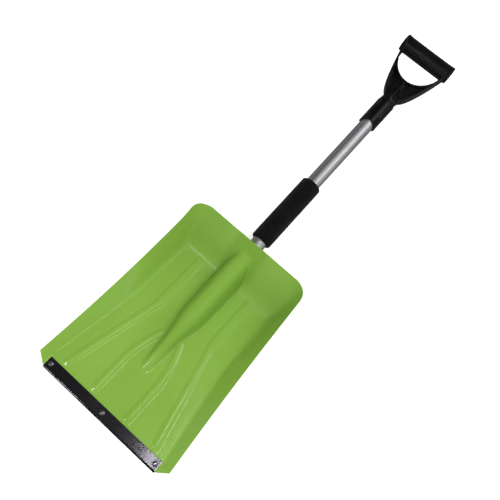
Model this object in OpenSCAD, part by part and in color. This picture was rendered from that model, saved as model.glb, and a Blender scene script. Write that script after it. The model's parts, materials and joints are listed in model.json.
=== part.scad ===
// Compact snow shovel: a moulded scoop with a folded metal wear strip, a plug-in
// aluminium shaft held by a sprung button, a foam hand grip and a D-grip.
// +Y runs from the cutting edge to the handle, +X is the shovel's right, +Z is up.
// The origin is the middle of the cutting edge, at ground level. Millimetres.

/* [Scoop] */
// Length of the scoop, from the cutting edge to the rear rim
scoop_len = 341; // [320:1:360]
// Half width between the rims at the front
rim_half_front = 132.5; // [128:0.5:135]
// Half width between the rims at the waist
rim_half_waist = 117.5; // [114:0.5:120]
// Half width between the rims at the rear
rim_half_rear = 110.5; // [108:0.5:116]
// Height of the rim at the front
rim_z_front = 12; // [10:0.5:16]
// Height of the rim at the waist
rim_z_waist = 35.5; // [30:0.5:42]
// Height of the rim at the rear
rim_z_rear = 65; // [60:0.5:72]
// Distance from the cutting edge to the waist, where the ribs bend
waist_y = 194; // [185:1:200]
// Wall thickness of the moulding
wall = 3; // [2.5:0.1:3.5]
// Radius of the rear corners in plan
corner_r = 24; // [18:1:28]
// Distance from the cutting edge to the foot of the rear wall
rear_foot_y = 277; // [275:1:285]
// Height of the stiffening ribs
rib_h = 2; // [1:0.25:3]

/* [Socket] */
// Slope of the shaft above the scoop's flat floor, in degrees
shaft_slope = 6.8; // [6.2:0.1:7.2]
// Height of the shaft's centre line at the rear rim
shaft_z = 33.5; // [33:0.5:36]
// Depth that the tube plugs into the socket
plug_len = 135; // [125:1:140]
// Outside radius of the socket
socket_r = 15.5; // [15:0.1:16]
// Distance from the cutting edge to the tip of the socket's nose
nose_y = 92; // [85:1:110]

/* [Wear strip] */
// Half width of the metal strip
strip_half = 113.5; // [112:0.5:115]
// Depth of the strip's upper leaf
strip_depth = 19; // [17:0.5:20]
// Depth of the lip folded under the floor
strip_lip = 5.5; // [4:0.5:5.5]
// Sheet thickness of the strip
strip_t = 0.8; // [0.6:0.1:1]
// Distance from the middle rivet to an outer one
rivet_pitch = 106.5; // [90:0.5:108]
// Distance from the cutting edge to the rivets
rivet_y = 10.5; // [10:0.5:12]

/* [Shaft] */
// Outside diameter of the tube
tube_d = 25; // [24.5:0.1:25]
// Wall thickness of the tube
tube_t = 1.2; // [1:0.1:1.5]
// Distance from the rear rim to the foam grip
foam_from = 21.5; // [10:0.5:30]
// Length of the foam grip
foam_len = 132.5; // [100:0.5:160]
// Outside diameter of the foam grip
foam_d = 35.5; // [33:0.5:38]

/* [D-grip] */
// Distance from the rear rim to the tips of the collar's mouth
collar_from = 296; // [270:1:310]
// Length from the collar's tips to the top of the crossbar
grip_len = 190; // [185:1:195]
// Half width over the crossbar's ends
bar_half = 50.5; // [48:0.5:54]
// Diameter of the crossbar
bar_d = 31; // [28:0.5:32]
// Thickness of the yoke
yoke_t = 18; // [16:0.5:20]

/* [Button] */
// Distance from the rear rim down the tube to the button
button_down = 60; // [40:1:80]
// Diameter of the button
button_d = 8; // [7:0.5:8]
// Height that the button stands proud of the tube
button_proud = 4.6; // [4.2:0.1:5]

/* [Hidden] */
$fn = 64;
run_gap = 0.05;                        // radial clearance of a sliding fit
scoop_green = [0.47, 0.68, 0.16];
grip_black = [0.09, 0.09, 0.10];
steel_grey = [0.62, 0.62, 0.64];

// ---- the scoop's surface, as heights above the ground -------------------------------

edge_y = 2.5;                          // the moulding's own front edge, inside the fold
floor_z = strip_t + wall;              // top of the flat floor
chamfer_y = 14;                        // length of the cut-off front corners
front_gap = 1.5;                       // plastic beyond the wall's foot at the front edge
rear_fillet = 32;                      // length of the curve at the rear wall's foot
corner_power = 2.4;                    // roundness of the bowl where two walls meet

// 0 up to u = 0, then a parabola of length k, then a straight line of slope 1
function ramp(u, k) = u <= 0 ? 0 : u < k ? u * u / (2 * k) : u - k / 2;
function limit(v, low, high) = min(max(v, low), high);
// 0 at from and 1 at to, easing in and out
function fade(v, from, to) = let (t = limit((v - from) / (to - from), 0, 1)) t * t * (3 - 2 * t);
// the larger of a and b, with a rounded valley where they cross above 0
function soft_max(a, b, k) = let (r = min(k, 2 * min(a, b)))
    r <= 0 ? max(a, b) : max(a, b) + pow(max(r - abs(a - b), 0), 2) / (4 * r);
// the parabola through a front, a waist and a rear value
function along(y, front, waist, rear) =
    front * (y - waist_y) * (y - scoop_len) / (waist_y * scoop_len)
    + waist * y * (y - scoop_len) / (waist_y * (waist_y - scoop_len))
    + rear * y * (y - waist_y) / (scoop_len * (scoop_len - waist_y));

function rim_half(y) = along(y, rim_half_front, rim_half_waist, rim_half_rear);
function rim_z(y) = along(y, rim_z_front, rim_z_waist, rim_z_rear);
// half width of the floor up to the foot of the side wall
function foot_half(y) = strip_half + 0.2
    - 0.15 * limit(y - strip_depth - 1, 0, waist_y - strip_depth - 1)
    - 0.05 * max(y - waist_y, 0);
// length of the curve at the side wall's foot, softer behind the waist
function foot_fillet(y) = 4 + 12 * fade(y, waist_y - 40, rear_foot_y);
function side_h(x, y) = (rim_z(y) - floor_z) * ramp(abs(x) - foot_half(y), foot_fillet(y))
    / (rim_half(y) - foot_half(y) - foot_fillet(y) / 2);
function rear_h(y) = (rim_z_rear - floor_z) * ramp(y - rear_foot_y, rear_fillet)
    / (scoop_len - rear_foot_y - rear_fillet / 2);
function wall_h(x, y) =
    pow(pow(side_h(x, y), corner_power) + pow(rear_h(y), corner_power), 1 / corner_power);

// the ridge over the socket, and its nose
ridge_cover = 0.5;                     // plastic above the socket's round wall
ridge_power = 3.2;                     // flatness of the ridge's crown
ridge_half = 22;                       // half width of the ridge at the tube's end
ridge_fillet = 8;                      // height of the curve at the ridge's foot
nose_half = 15.5;                      // half width that the nose would have at the tube's end
nose_over = 2;                         // height that the nose's line gains on the ridge's there
tube_end_y = scoop_len - plug_len * cos(shaft_slope);
function axis_z(y) = shaft_z - (scoop_len - y) * tan(shaft_slope);
function crest_h(y) = axis_z(y) + socket_r + ridge_cover - floor_z;
function nose(y) = max((y - nose_y) / (tube_end_y - nose_y), 0.001);
// the lower of the socket's crest and the nose's rising line, with a rounded peak
function ridge_top(y) = let (c = crest_h(y), n = (crest_h(tube_end_y) + nose_over) * nose(y))
    c - ramp(c - n + 2, 4);
function ridge_w(y) = y > tube_end_y
    ? ridge_half * pow(crest_h(y) / crest_h(tube_end_y), 1 / ridge_power)
    : nose_half * pow(nose(y), 0.32) + (ridge_half - nose_half) * fade(nose(y), 0.55, 1);
function ridge_h(x, y) = y < nose_y ? 0
    : ramp(ridge_top(y) * (1 - pow(abs(x) / ridge_w(y), ridge_power)) + ridge_fillet / 2,
        ridge_fillet) * limit((y - nose_y) / 12, 0, 1);

// two pairs of ribs: the inner pair leaves the nose, the outer pair the rear wall
inner_x = 33.5;                        // half distance between the inner ribs in front
outer_x = 53;                          // half distance between the outer ribs at the rear
inner_from_y = 163;                    // where the inner ribs leave the ridge
rib_front_y = 20;                      // where all the ribs end
rib_end = 11;                          // length of a rib's sloping front end
rib_top = 1.8;                         // half width of a rib's top in front of the waist
rib_foot = 7.5;                        // half width of a rib's foot there
rib_wider = 2;                         // what both gain behind the waist
function inner_rib_x(y) = inner_x - 19 * pow(limit((y - 80) / (inner_from_y - 80), 0, 1), 2.2);
function outer_rib_x(y) = outer_x + 0.23 * ramp(waist_y + 6 - y, 16);
function rib(d, y) = let (wider = rib_wider * fade(y, waist_y - 14, waist_y + 2))
    rib_h * fade(abs(d), rib_foot + wider, rib_top + wider);
function ribs_h(x, y) = fade(y, rib_front_y, rib_front_y + rib_end)
    * max(rib(abs(x) - outer_rib_x(y), y) * fade(y, rear_foot_y + 18, rear_foot_y + 4),
        rib(abs(x) - inner_rib_x(y), y) * fade(y, inner_from_y + 10, inner_from_y - 6));

function top_z(x, y) =
    floor_z + soft_max(soft_max(wall_h(x, y), ridge_h(x, y), 6), ribs_h(x, y), 2);
// the underside keeps the wall thickness square to the surface
function slope_x(x, y) = top_z(x + 0.5, y) - top_z(x - 0.5, y);
function slope_y(x, y) = top_z(x, y + 0.5) - top_z(x, y - 0.5);
function under_z(x, y) = max(strip_t,
    top_z(x, y) - wall * sqrt(1 + pow(slope_x(x, y), 2) + pow(slope_y(x, y), 2)));

// the outline in plan: cut-off front corners, curved sides, round rear corners
corner_y = scoop_len - corner_r;
function plan_half(y) = y < chamfer_y
    ? foot_half(0) + front_gap + (rim_half(chamfer_y) - foot_half(0) - front_gap)
        * (y - edge_y) / (chamfer_y - edge_y)
    : rim_half(y) - (y <= corner_y ? 0
        : corner_r - sqrt(max(0, corner_r * corner_r - pow(y - corner_y, 2))));

cols = 46;                             // strips of the mesh across the scoop
wall_cols = 4;                         // of these, strips on each side wall
row_y = concat([edge_y, 8, chamfer_y],
    [for (i = [0 : 20]) rib_front_y + i * (rear_foot_y - rib_front_y) / 20],
    [for (i = [1 : 5]) rear_foot_y + i * (corner_y - rear_foot_y) / 5],
    [for (a = [18 : 18 : 90]) corner_y + corner_r * sin(a)]);
// the mesh's lines follow the foot of the side walls, and are closest at the ridge
floor_share = 1 - 2 * wall_cols / cols;
function col_x(i, y) = let (t = 2 * i / cols - 1, f = abs(t) / floor_share, foot = foot_half(y))
    sign(t) * (f <= 1
        ? foot * f * (0.85 + 0.15 * f * f)
        : foot + (plan_half(y) - foot) * (abs(t) - floor_share) / (1 - floor_share));

module scoop_shell() {
    n = cols + 1;
    rows = len(row_y);
    under = n * rows;
    points = concat(
        [for (y = row_y) for (i = [0 : cols]) [col_x(i, y), y, top_z(col_x(i, y), y)]],
        [for (y = row_y) for (i = [0 : cols]) [col_x(i, y), y, under_z(col_x(i, y), y)]]);
    faces = concat(
        [for (r = [0 : rows - 2]) for (i = [0 : cols - 1]) let (a = r * n + i)
            each [[a, a + n, a + 1], [a + 1, a + n, a + n + 1]]],
        [for (r = [0 : rows - 2]) for (i = [0 : cols - 1]) let (a = under + r * n + i)
            each [[a, a + 1, a + n], [a + 1, a + n + 1, a + n]]],
        [for (i = [0 : cols - 1]) each [[i, i + 1, under + i], [i + 1, under + i + 1, under + i]]],
        [for (i = [0 : cols - 1]) let (a = (rows - 1) * n + i)
            each [[a, under + a, a + 1], [a + 1, under + a, under + a + 1]]],
        [for (r = [0 : rows - 2]) let (a = r * n)
            each [[a, under + a, a + n], [a + n, under + a, under + a + n]]],
        [for (r = [0 : rows - 2]) let (a = r * n + cols)
            each [[a, a + n, under + a], [a + n, under + a + n, under + a]]]);
    polyhedron(points, faces, convexity = 6);
}

// ---- shared shapes -------------------------------------------------------------------

// puts +Z along the shaft, s millimetres from the rear rim, with +Y to its underside
module on_shaft(s = 0) {
    translate([0, scoop_len, shaft_z]) rotate([shaft_slope - 90, 0, 0]) translate([0, 0, s])
        children();
}

// turns a shape that rises along Z so that it rises out of the shaft's underside
module from_shaft_under() { rotate([-90, 0, 0]) children(); }

module ring(r_out, r_in, h, round_r) {
    rotate_extrude() {
        translate([r_in, 0]) square([r_out - round_r - r_in, h]);
        translate([r_in, round_r]) square([r_out - r_in, h - 2 * round_r]);
        for (z = [round_r, h - round_r]) translate([r_out - round_r, z]) circle(round_r);
    }
}

module at_rivets() {
    for (x = [-rivet_pitch, 0, rivet_pitch]) translate([x, rivet_y, 0]) children();
}

// ---- the scoop -----------------------------------------------------------------------

tube_r = tube_d / 2;
rivet_r = 2;                           // rivet shank
pocket_r = 4.3;                        // pocket that keeps a rivet's tail off the ground
pocket_z = 2.3;                        // ceiling of that pocket
button_r = button_d / 2;

module scoop_blade() {
    color(scoop_green) difference() {
        union() {
            scoop_shell();
            on_shaft(-plug_len - wall) cylinder(r = socket_r, h = plug_len + wall);
        }
        on_shaft(-plug_len) cylinder(r = tube_r + run_gap, h = plug_len + 20);
        on_shaft(-button_down) from_shaft_under() cylinder(r = button_r + 0.2, h = 40);
        at_rivets() {
            cylinder(r = rivet_r + run_gap, h = 10);
            cylinder(r = pocket_r, h = pocket_z);
        }
    }
}

// ---- the wear strip and its rivets ---------------------------------------------------

strip_h = floor_z + strip_t;           // overall height of the fold
fold_r = strip_h / 2;                  // outside radius of the fold

module strip_profile() {
    difference() {
        union() {
            translate([fold_r, fold_r]) circle(fold_r);
            translate([fold_r, floor_z]) square([strip_depth - fold_r, strip_t]);
            translate([fold_r, 0]) square([strip_lip - fold_r, strip_t]);
        }
        translate([fold_r, fold_r]) circle(fold_r - strip_t);
        translate([fold_r, strip_t]) square([fold_r, floor_z - strip_t]);
    }
}

module wear_strip() {
    color([0.16, 0.15, 0.17]) difference() {
        translate([-strip_half, 0, 0]) rotate([90, 0, 90])
            linear_extrude(2 * strip_half) strip_profile();
        at_rivets() cylinder(r = rivet_r + run_gap, h = 10);
    }
}

rivet_head_r = 4;                      // rivet flange
rivet_head_h = 1.3;
rivet_tail_r = 3.2;                    // set tail in the pocket
mandrel_r = 1.1;                       // broken-off mandrel left in the rivet

module strip_rivets() {
    color(steel_grey) at_rivets() rotate_extrude() {
        difference() {
            union() {
                translate([0, strip_h]) intersection() {
                    translate([0, -5.5]) circle(5.5 + rivet_head_h);
                    square([rivet_head_r, rivet_head_h]);
                }
                translate([0, pocket_z]) square([rivet_r, strip_h - pocket_z + 0.1]);
                translate([0, strip_t + 0.1]) square([rivet_tail_r, pocket_z - strip_t - 0.1]);
            }
            square([mandrel_r + run_gap, 20]);
        }
    }
}

module rivet_mandrels() {
    color([0.80, 0.80, 0.82]) at_rivets() {
        translate([0, 0, 0.2]) cylinder(r = mandrel_r, h = strip_h + rivet_head_h - 0.6);
        translate([0, 0, 0.2]) cylinder(r = 1.8, h = strip_t - 0.15);
    }
}

// ---- the shaft -----------------------------------------------------------------------

tube_top = collar_from + 54;           // upper end of the tube, inside the D-grip
screw_s = collar_from + 30;            // the screw that holds the D-grip
screw_r = 1.9;

module shaft_tube() {
    color([0.72, 0.73, 0.75]) difference() {
        on_shaft(-plug_len) cylinder(r = tube_r, h = plug_len + tube_top);
        on_shaft(-plug_len - 1) cylinder(r = tube_r - tube_t, h = plug_len + tube_top + 2);
        on_shaft(-button_down) from_shaft_under() cylinder(r = button_r + 0.1, h = 20);
        on_shaft(screw_s) from_shaft_under() cylinder(r = screw_r + run_gap, h = 20);
    }
}

module foam_grip() {
    color([0.05, 0.05, 0.05])
        on_shaft(foam_from) ring(foam_d / 2, tube_r + run_gap, foam_len, 3);
}

// ---- the D-grip ----------------------------------------------------------------------

neck_from = 52;                        // the stations below are from the collar's tips
yoke_from = 72;
bar_at = grip_len - bar_d / 2 - 0.5;
neck_r = 14.4;
collar_mouth_r = 14.4;
collar_waist_r = 13.6;
fin_reach = 0.8;                       // the side fins stand out of the collar
scallop_r = 19.6;                      // arched mouth, deeper at the front and the back
scallop_depth = 7;
opening_half = 41;                     // the hand opening is half an ellipse
opening_deep = 50;
rim_w = 4;                             // width of the yoke's raised rims
web_t = 6;                             // thickness of the sunk web between them
yoke_steps = 24;
yoke_power = 0.62;                     // how soon the yoke widens above the neck
end_plate = [3.5, 0.5];                // width and reach of the plates at the crossbar's ends
rib_half = 1.6;                        // half width of the rib up the middle of the yoke
bar_wall = 4;                          // wall of the hollow crossbar

function yoke_x(t) = neck_r + (bar_half - end_plate[1] - neck_r) * pow(t, yoke_power);

module yoke_outline() {
    side = [for (i = [0 : yoke_steps]) let (t = i / yoke_steps)
        [yoke_x(t), yoke_from + (bar_at - yoke_from) * t]];
    far_side = [for (i = [yoke_steps : -1 : 0]) [-side[i][0], side[i][1]]];
    difference() {
        polygon(concat(side, far_side));
        hand_opening();
    }
}

module hand_opening() {
    polygon([for (i = [0 : 2 * yoke_steps]) let (a = 180 + 90 * i / yoke_steps)
        [opening_half * cos(a), bar_at + opening_deep * sin(a) - bar_d / 2 + 1]]);
}

module web_recess() {
    difference() {
        offset(delta = -rim_w) yoke_outline();
        translate([-rib_half, 0]) square([2 * rib_half, grip_len]);
        translate([-60, bar_at - bar_d / 2 - 1]) square([120, 40]);
    }
}

module d_grip() {
    color(grip_black) on_shaft(collar_from) difference() {
        union() {
            cylinder(r1 = collar_mouth_r, r2 = collar_waist_r, h = neck_from);
            for (side = [-1, 1])
                translate([side * (collar_mouth_r - 2 + fin_reach), 0, 0])
                    translate([-2, -1.5, 0]) cube([4, 3, neck_from]);
            translate([0, 0, neck_from]) cylinder(r = neck_r, h = yoke_from - neck_from + 8);
            rotate([90, 0, 0]) linear_extrude(yoke_t, center = true) yoke_outline();
            translate([-bar_half, 0, bar_at]) rotate([0, 90, 0])
                cylinder(r = bar_d / 2, h = 2 * bar_half);
            for (side = [-1, 1]) translate([side * (bar_half - end_plate[0] / 2), 0, bar_at])
                rotate([0, 90, 0])
                    cylinder(r = bar_d / 2 + end_plate[1], h = end_plate[0], center = true);
        }
        translate([0, 0, -1]) cylinder(r = tube_r + run_gap, h = tube_top - collar_from + 2);
        translate([0, 0, scallop_depth - scallop_r]) rotate([90, 0, 0])
            cylinder(r = scallop_r, h = 60, center = true);
        for (side = [-1, 1]) translate([0, side * (web_t + yoke_t) / 2, 0])
            rotate([90, 0, 0]) linear_extrude(yoke_t, center = true) web_recess();
        for (side = [-1, 1]) translate([side * (bar_half + 1), 0, bar_at])
            rotate([0, -side * 90, 0]) cylinder(r = bar_d / 2 - bar_wall, h = bar_half - 0.5);
        translate([0, 0, screw_s - collar_from]) from_shaft_under()
            cylinder(r = screw_r + run_gap, h = 30);
    }
}

module grip_screw() {
    seat = collar_mouth_r + 0.1;
    color(steel_grey) on_shaft(screw_s) from_shaft_under() difference() {
        union() {
            translate([0, 0, seat - 12]) cylinder(r = screw_r, h = 12.5);
            translate([0, 0, seat]) cylinder(r1 = 3.6, r2 = 2.6, h = 2);
        }
        translate([0, 0, seat + 1]) for (turn = [0, 90]) rotate([0, 0, turn])
            translate([-2, -0.4, 0]) cube([4, 0.8, 3]);
    }
}

// ---- the sprung button ---------------------------------------------------------------

tube_in_r = tube_r - tube_t;
flange_top = tube_in_r - 1.5;          // the button's flange stops under the tube's wall
flange_r = button_r + 1;
flange_t = 1;
button_top = tube_r + button_proud;

module snap_button() {
    color(steel_grey) on_shaft(-button_down) from_shaft_under() rotate_extrude() {
        translate([0, flange_top - flange_t]) square([flange_r, flange_t]);
        translate([0, flange_top - 0.1]) square([button_r, button_top - flange_top - 1.4]);
        intersection() {
            translate([0, button_top - 6.2]) circle(6.2);
            translate([0, flange_top]) square([button_r, button_top - flange_top]);
        }
    }
}

spring_w = 7;                          // width of the spring's strip
spring_t = 0.6;
bend_r = 4;                            // bend between the spring's two legs
bend_up = 34;                          // distance from the button to the bend

// a leg of the spring from the bend to a point, as a strip of its thickness
module leg(from, to) {
    d = to - from;
    translate(from) rotate(atan2(d[1], d[0])) translate([0, -spring_t / 2])
        square([norm(d), spring_t]);
}

module button_spring() {
    push = flange_top - flange_t - spring_t / 2 - 0.02;
    rest = -tube_in_r + 1;
    mid = (push + rest) / 2;
    color([0.70, 0.70, 0.72]) on_shaft(-button_down) rotate([0, -90, 0])
        linear_extrude(spring_w, center = true) {
            leg([bend_up, mid + bend_r - spring_t / 2], [4, push]);
            leg([4.2, push], [-5, push]);
            leg([bend_up, mid - bend_r + spring_t / 2], [-8, rest]);
            translate([bend_up, mid]) difference() {
                circle(bend_r);
                circle(bend_r - spring_t);
                translate([-2 * bend_r, -bend_r]) square([2 * bend_r, 2 * bend_r]);
            }
        }
}

scoop_blade();
wear_strip();
strip_rivets();
rivet_mandrels();
shaft_tube();
foam_grip();
d_grip();
grip_screw();
snap_button();
button_spring();
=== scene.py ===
"""The looks of a compact snow shovel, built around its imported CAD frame.

Shapes are worked out in millimetres and turned into metres when their mesh is made. Pieces on
the shaft are built along +Z from the rear rim of the scoop, then stood on the shaft's axis.
Materials, lights and the camera are in metres.
"""
import json
import math

import bmesh
import bpy
import numpy as np
from mathutils import Matrix, Vector


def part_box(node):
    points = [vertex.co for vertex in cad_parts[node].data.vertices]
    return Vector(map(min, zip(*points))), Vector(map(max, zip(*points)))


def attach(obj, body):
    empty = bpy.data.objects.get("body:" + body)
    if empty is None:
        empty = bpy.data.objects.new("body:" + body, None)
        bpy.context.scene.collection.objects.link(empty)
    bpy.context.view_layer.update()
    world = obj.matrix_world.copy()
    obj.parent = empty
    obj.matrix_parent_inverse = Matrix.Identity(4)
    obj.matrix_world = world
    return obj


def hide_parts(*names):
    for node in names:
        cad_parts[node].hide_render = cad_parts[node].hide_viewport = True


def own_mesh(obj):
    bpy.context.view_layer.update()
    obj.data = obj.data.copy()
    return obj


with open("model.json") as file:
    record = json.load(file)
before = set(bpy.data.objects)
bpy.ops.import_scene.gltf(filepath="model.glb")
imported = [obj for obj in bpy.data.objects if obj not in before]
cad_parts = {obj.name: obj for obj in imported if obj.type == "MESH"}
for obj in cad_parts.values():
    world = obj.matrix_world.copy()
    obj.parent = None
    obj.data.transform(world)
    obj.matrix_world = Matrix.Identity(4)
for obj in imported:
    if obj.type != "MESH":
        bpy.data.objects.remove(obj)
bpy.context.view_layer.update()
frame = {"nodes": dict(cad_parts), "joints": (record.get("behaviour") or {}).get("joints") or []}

MM = 0.001


# ---- sizes that come from the frame --------------------------------------------------

def corners_mm(node):
    """Lowest and highest corner of a node's box, in mm."""
    low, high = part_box(node)
    return low / MM, high / MM


JOINTS = {joint["name"]: joint for joint in frame["joints"]}
SHAFT_DIR = Vector(JOINTS["shaft_pull"]["axis"]).normalized()
UNDER_DIR = -Vector(JOINTS["button_press"]["axis"]).normalized()
SCOOP_LOW, SCOOP_HIGH = corners_mm("scoop_blade")
STRIP_HIGH = corners_mm("wear_strip")[1]
SCOOP_LEN = SCOOP_HIGH.y


def shaft_piece(node):
    """Radius, and the two ends of the axis, of a round node on the shaft, in mm."""
    low, high = corners_mm(node)
    radius = (high.x - low.x) / 2
    first = Vector((0, low.y + radius * SHAFT_DIR.z, low.z + radius * SHAFT_DIR.y))
    last = Vector((0, high.y - radius * SHAFT_DIR.z, high.z - radius * SHAFT_DIR.y))
    return radius, first, last


TUBE_R, TUBE_FOOT, TUBE_HEAD = shaft_piece("shaft_tube")
RIM_POINT = TUBE_FOOT + SHAFT_DIR * ((SCOOP_LEN - TUBE_FOOT.y) / SHAFT_DIR.y)
SHAFT = Matrix.Translation(RIM_POINT) @ Matrix(
    ((1, UNDER_DIR.x, SHAFT_DIR.x, 0), (0, UNDER_DIR.y, SHAFT_DIR.y, 0),
     (0, UNDER_DIR.z, SHAFT_DIR.z, 0), (0, 0, 0, 1)))


def station(point):
    """Distance in mm along the shaft from the scoop's rear rim."""
    return (point - RIM_POINT).dot(SHAFT_DIR)


PLUG_LEN = -station(TUBE_FOOT)


# ---- mesh helpers --------------------------------------------------------------------

ROUND_STEPS = 96               # sides of a large round surface


def add_object(name, verts, faces, place=Matrix()):
    """A smooth mesh object from points in mm, moved by place and turned into metres."""
    mesh = bpy.data.meshes.new(name)
    mesh.from_pydata([tuple(v) for v in verts], [], [tuple(f) for f in faces])
    mesh.transform(Matrix.Scale(MM, 4) @ place)
    mesh.validate()
    obj = bpy.data.objects.new(name, mesh)
    bpy.context.scene.collection.objects.link(obj)
    outward(obj)
    return obj


def outward(obj):
    """Turns every face's normal to the outside."""
    work = bmesh.new()
    work.from_mesh(obj.data)
    bmesh.ops.recalc_face_normals(work, faces=work.faces)
    work.to_mesh(obj.data)
    work.free()


def lathe(name, profile, steps, place):
    """A closed solid of revolution about +Z from a loop of (radius, height) points."""
    turns = [2 * math.pi * i / steps for i in range(steps)]
    verts = [(r * math.cos(a), r * math.sin(a), z) for a in turns for r, z in profile]
    n = len(profile)
    faces = []
    for i in range(steps):
        here, there = i * n, (i + 1) % steps * n
        for k in range(n):
            after = (k + 1) % n
            faces.append((here + k, there + k, there + after, here + after))
    return add_object(name, verts, faces, place)


def spun(name, profile, place=Matrix()):
    """A solid of revolution whose profile starts and ends on the axis."""
    n, steps = len(profile) - 2, ROUND_STEPS
    verts = [(0, 0, profile[0][1]), (0, 0, profile[-1][1])]
    for i in range(steps):
        a = 2 * math.pi * i / steps
        verts += [(r * math.cos(a), r * math.sin(a), z) for r, z in profile[1:-1]]
    faces = []
    for i in range(steps):
        here, there = 2 + i * n, 2 + (i + 1) % steps * n
        faces += [(0, there, here), (1, here + n - 1, there + n - 1)]
        faces += [(here + k, there + k, there + k + 1, here + k + 1) for k in range(n - 1)]
    return add_object(name, verts, faces, place)


def rod(name, radius, low, high, place=Matrix(), steps=48):
    """A plain capped cylinder along +Z, used to cut or to build up other shapes."""
    ring = [(math.cos(2 * math.pi * i / steps), math.sin(2 * math.pi * i / steps))
            for i in range(steps)]
    verts = [(radius * x, radius * y, z) for z in (low, high) for x, y in ring]
    sides = [(i, (i + 1) % steps, steps + (i + 1) % steps, steps + i) for i in range(steps)]
    caps = [tuple(range(steps))[::-1], tuple(range(steps, 2 * steps))]
    return add_object(name, verts, sides + caps, place)


def block(name, low, high, place=Matrix()):
    """A box between two corners, used to build up other shapes."""
    verts = [(x, y, z) for z in (low[2], high[2]) for y in (low[1], high[1])
             for x in (low[0], high[0])]
    faces = [(0, 2, 3, 1), (4, 5, 7, 6), (0, 1, 5, 4), (2, 6, 7, 3), (0, 4, 6, 2), (1, 3, 7, 5)]
    return add_object(name, verts, faces, place)


def slab(name, outline, thick, middle=0.0):
    """A flat plate in the X-Z plane, thick along Y about middle, from a closed outline."""
    n = len(outline)
    verts = [(x, middle + side * thick / 2, z) for side in (-1, 1) for x, z in outline]
    sides = [(i, (i + 1) % n, n + (i + 1) % n, n + i) for i in range(n)]
    caps = [tuple(range(n))[::-1], tuple(range(n, 2 * n))]
    return add_object(name, verts, sides + caps)


def apply_modifier(obj, kind, **settings):
    """Adds a modifier with these settings and bakes it into the mesh."""
    modifier = obj.modifiers.new(kind.lower(), kind)
    for key, value in settings.items():
        setattr(modifier, key, value)
    bpy.context.view_layer.objects.active = obj
    with bpy.context.temp_override(object=obj, active_object=obj):
        bpy.ops.object.modifier_apply(modifier=modifier.name)


def combine(obj, other, operation):
    """Boolean of obj with a closed mesh, which is used up."""
    apply_modifier(obj, "BOOLEAN", operation=operation, object=other, solver="MANIFOLD")
    bpy.data.objects.remove(other)


def cut(obj, cutter):
    combine(obj, cutter, "DIFFERENCE")


def join(target, others):
    """Puts the meshes of others into target's mesh as they are."""
    work = bmesh.new()
    for obj in [target, *others]:
        work.from_mesh(obj.data)
    work.to_mesh(target.data)
    work.free()
    for obj in others:
        bpy.data.objects.remove(obj)


def bevel(obj, width):
    """Rounds the sharp edges; width is in mm."""
    apply_modifier(obj, "BEVEL", width=width * MM, segments=2, limit_method="ANGLE",
                   angle_limit=math.radians(50))


def smooth(obj, angle):
    """Smooth shading that keeps edges sharper than angle, in degrees."""
    obj.data.shade_smooth()
    obj.data.set_sharp_from_angle(angle=math.radians(angle))


def paint(obj, material):
    obj.data.materials.clear()
    obj.data.materials.append(material)


def finish_piece(obj, body, material, node):
    """Gives a piece its material and its body, and lets it stand for a CAD node."""
    paint(obj, material)
    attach(obj, body)
    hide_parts(node)


# ---- procedural materials ------------------------------------------------------------

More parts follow.
